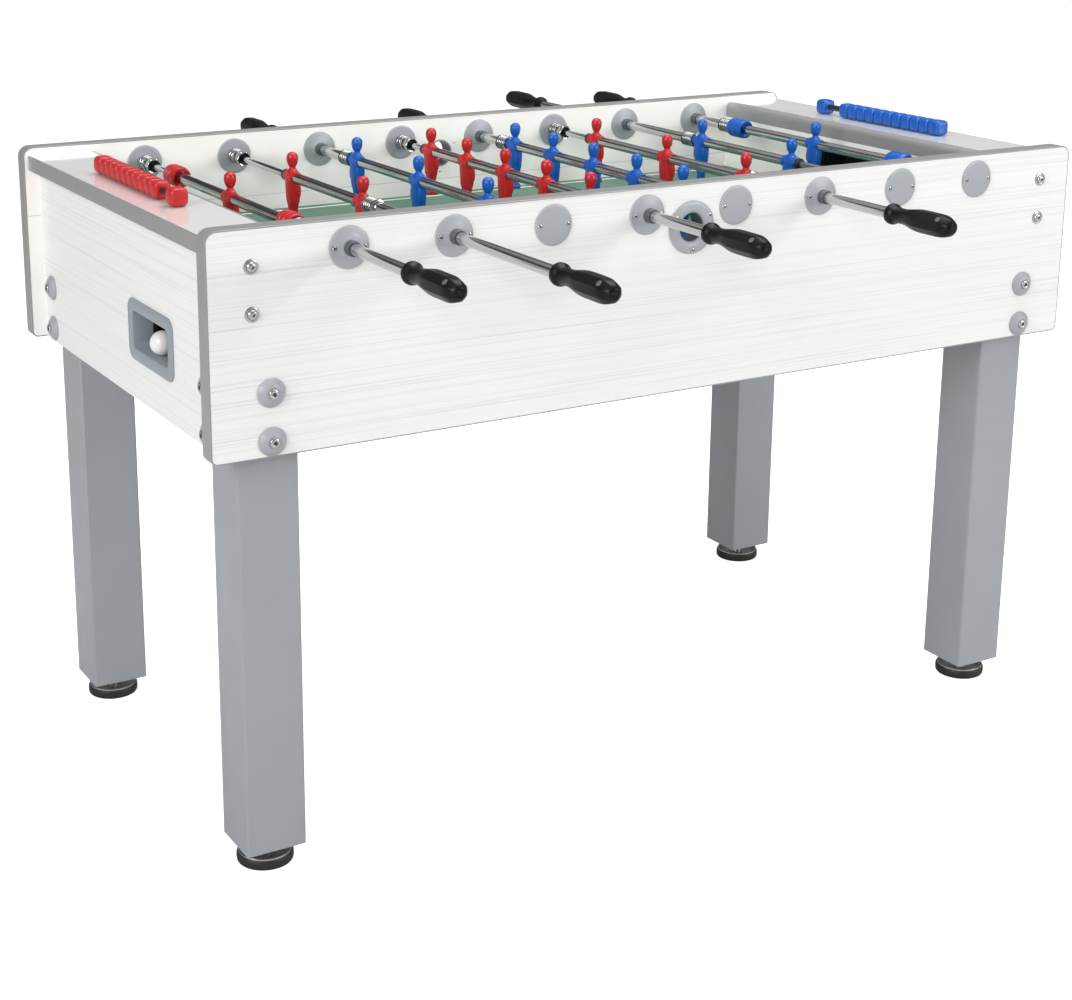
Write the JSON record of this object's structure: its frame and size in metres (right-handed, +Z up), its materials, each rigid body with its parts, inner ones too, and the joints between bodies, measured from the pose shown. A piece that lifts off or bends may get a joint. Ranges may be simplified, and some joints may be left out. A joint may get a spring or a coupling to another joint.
{
  "type": "foosball table",
  "caption": "Full-size table football game: a box cabinet on square legs with telescopic player rods, goals, ball returns, bead scorers and levelling feet.",
  "frame": {"origin": "centre of the overall box's bottom face, on the floor under the table's middle", "axes": "+X along the field's length towards the right goal, +Y across it along the rods, away from the near side, +Z up"},
  "size_m": [1.435, 1.518, 0.904],
  "materials": {
    "white_laminate": "satin white laminate on board with a fine grain",
    "gloss_white_board": "gloss white laminate on board",
    "grey_edging": "satin grey edging",
    "raw_board": "plain white board",
    "green_field": "satin green laminate with white lines",
    "grey_laminate": "satin grey laminate on board",
    "black_plastic": "moulded, fine texture",
    "bearing_grey": "moulded, satin",
    "disc_grey": "moulded, satin",
    "tray_grey": "moulded, satin",
    "bright_steel": "zinc plated",
    "chrome_tube": "polished",
    "red_player": "moulded, satin",
    "blue_player": "moulded, satin",
    "grip_black": "moulded, satin",
    "foot_rubber": "moulded",
    "scorer_black": "moulded",
    "bead_red": "moulded, gloss",
    "bead_blue": "moulded, gloss",
    "ball_white": "moulded, satin"
  },
  "bodies": {
    "cabinet": {"near_side_panel": "white_laminate", "far_side_panel": "white_laminate", "left_end_panel": "white_laminate", "right_end_panel": "white_laminate", "left_end_shelf": "gloss_white_board", "right_end_shelf": "gloss_white_board", "panel_edge_bands": "grey_edging", "bottom_board": "raw_board", "playfield": "green_field", "goal_walls": "white_laminate", "goal_hoods": "black_plastic", "ball_return_trays": "tray_grey", "ball_entry_cups": "disc_grey", "rod_bearings": "bearing_grey", "cover_discs": "disc_grey", "legs": "grey_laminate", "leg_bolts": "bright_steel", "panel_screws": "bright_steel", "scorer_rails": "scorer_black"},
    "red_keeper_inner": {"red_keeper_inner_rod": "bright_steel"},
    "red_keeper_outer": {"red_keeper_tube": "chrome_tube", "red_keeper_men": "red_player", "red_keeper_handle": "grip_black"},
    "red_defence_inner": {"red_defence_inner_rod": "bright_steel"},
    "red_defence_outer": {"red_defence_tube": "chrome_tube", "red_defence_men": "red_player", "red_defence_handle": "grip_black"},
    "blue_attack_inner": {"blue_attack_inner_rod": "bright_steel"},
    "blue_attack_outer": {"blue_attack_tube": "chrome_tube", "blue_attack_men": "blue_player", "blue_attack_handle": "grip_black"},
    "red_midfield_inner": {"red_midfield_inner_rod": "bright_steel"},
    "red_midfield_outer": {"red_midfield_tube": "chrome_tube", "red_midfield_men": "red_player", "red_midfield_handle": "grip_black"},
    "blue_midfield_inner": {"blue_midfield_inner_rod": "bright_steel"},
    "blue_midfield_outer": {"blue_midfield_tube": "chrome_tube", "blue_midfield_men": "blue_player", "blue_midfield_handle": "grip_black"},
    "red_attack_inner": {"red_attack_inner_rod": "bright_steel"},
    "red_attack_outer": {"red_attack_tube": "chrome_tube", "red_attack_men": "red_player", "red_attack_handle": "grip_black"},
    "blue_defence_inner": {"blue_defence_inner_rod": "bright_steel"},
    "blue_defence_outer": {"blue_defence_tube": "chrome_tube", "blue_defence_men": "blue_player", "blue_defence_handle": "grip_black"},
    "blue_keeper_inner": {"blue_keeper_inner_rod": "bright_steel"},
    "blue_keeper_outer": {"blue_keeper_tube": "chrome_tube", "blue_keeper_men": "blue_player", "blue_keeper_handle": "grip_black"},
    "left_near_foot_body": {"left_near_foot": "foot_rubber"},
    "left_far_foot_body": {"left_far_foot": "foot_rubber"},
    "left_bead_row": {"left_scorer_beads": "bead_red"},
    "left_lead_bead": {"left_scorer_lead_bead": "bead_red"},
    "right_near_foot_body": {"right_near_foot": "foot_rubber"},
    "right_far_foot_body": {"right_far_foot": "foot_rubber"},
    "right_bead_row": {"right_scorer_beads": "bead_blue"},
    "right_lead_bead": {"right_scorer_lead_bead": "bead_blue"},
    "ball_body": {"ball": "ball_white"}
  },
  "joints": [
    {"name": "red_keeper_turn", "type": "hinge", "parent": "cabinet", "child": "red_keeper_inner", "pos_m": [-0.525, 0, 0.853], "axis": [0, 1, 0], "continuous": true},
    {"name": "red_keeper_push", "type": "slide", "parent": "red_keeper_inner", "child": "red_keeper_outer", "axis": [0, 1, 0], "range_m": [-0.0781, 0.0671]},
    {"name": "red_defence_turn", "type": "hinge", "parent": "cabinet", "child": "red_defence_inner", "pos_m": [-0.375, 0, 0.853], "axis": [0, 1, 0], "continuous": true},
    {"name": "red_defence_push", "type": "slide", "parent": "red_defence_inner", "child": "red_defence_outer", "axis": [0, 1, 0], "range_m": [-0.1711, 0.1601]},
    {"name": "blue_attack_turn", "type": "hinge", "parent": "cabinet", "child": "blue_attack_inner", "pos_m": [-0.225, 0, 0.853], "axis": [0, 1, 0], "continuous": true},
    {"name": "blue_attack_push", "type": "slide", "parent": "blue_attack_inner", "child": "blue_attack_outer", "axis": [0, 1, 0], "range_m": [-0.0781, 0.0771]},
    {"name": "red_midfield_turn", "type": "hinge", "parent": "cabinet", "child": "red_midfield_inner", "pos_m": [-0.075, 0, 0.853], "axis": [0, 1, 0], "continuous": true},
    {"name": "red_midfield_push", "type": "slide", "parent": "red_midfield_inner", "child": "red_midfield_outer", "axis": [0, 1, 0], "range_m": [-0.0501, 0.0411]},
    {"name": "blue_midfield_turn", "type": "hinge", "parent": "cabinet", "child": "blue_midfield_inner", "pos_m": [0.075, 0, 0.853], "axis": [0, 1, 0], "continuous": true},
    {"name": "blue_midfield_push", "type": "slide", "parent": "blue_midfield_inner", "child": "blue_midfield_outer", "axis": [0, 1, 0], "range_m": [-0.0321, 0.0591]},
    {"name": "red_attack_turn", "type": "hinge", "parent": "cabinet", "child": "red_attack_inner", "pos_m": [0.225, 0, 0.853], "axis": [0, 1, 0], "continuous": true},
    {"name": "red_attack_push", "type": "slide", "parent": "red_attack_inner", "child": "red_attack_outer", "axis": [0, 1, 0], "range_m": [-0.0831, 0.0721]},
    {"name": "blue_defence_turn", "type": "hinge", "parent": "cabinet", "child": "blue_defence_inner", "pos_m": [0.375, 0, 0.853], "axis": [0, 1, 0], "continuous": true},
    {"name": "blue_defence_push", "type": "slide", "parent": "blue_defence_inner", "child": "blue_defence_outer", "axis": [0, 1, 0], "range_m": [-0.1601, 0.1711]},
    {"name": "blue_keeper_turn", "type": "hinge", "parent": "cabinet", "child": "blue_keeper_inner", "pos_m": [0.525, 0, 0.853], "axis": [0, 1, 0], "continuous": true},
    {"name": "blue_keeper_push", "type": "slide", "parent": "blue_keeper_inner", "child": "blue_keeper_outer", "axis": [0, 1, 0], "range_m": [-0.0731, 0.0721]},
    {"name": "left_near_foot_level", "type": "slide", "parent": "cabinet", "child": "left_near_foot_body", "axis": [0, 0, 1], "range_m": [-0.015, 0.008]},
    {"name": "left_far_foot_level", "type": "slide", "parent": "cabinet", "child": "left_far_foot_body", "axis": [0, 0, 1], "range_m": [-0.015, 0.008]},
    {"name": "left_bead_row_slide", "type": "slide", "parent": "cabinet", "child": "left_bead_row", "axis": [0, 1, 0], "range_m": [-0.01, 0]},
    {"name": "left_lead_bead_slide", "type": "slide", "parent": "left_bead_row", "child": "left_lead_bead", "axis": [0, 1, 0], "range_m": [-0.024, 0]},
    {"name": "right_near_foot_level", "type": "slide", "parent": "cabinet", "child": "right_near_foot_body", "axis": [0, 0, 1], "range_m": [-0.015, 0.008]},
    {"name": "right_far_foot_level", "type": "slide", "parent": "cabinet", "child": "right_far_foot_body", "axis": [0, 0, 1], "range_m": [-0.015, 0.008]},
    {"name": "right_bead_row_slide", "type": "slide", "parent": "cabinet", "child": "right_bead_row", "axis": [0, 1, 0], "range_m": [0, 0.01]},
    {"name": "right_lead_bead_slide", "type": "slide", "parent": "right_bead_row", "child": "right_lead_bead", "axis": [0, 1, 0], "range_m": [0, 0.024]},
    {"name": "ball_take_out", "type": "slide", "parent": "cabinet", "child": "ball_body", "axis": [-1, 0, 0], "range_m": [0, 0.08]}
  ]
}
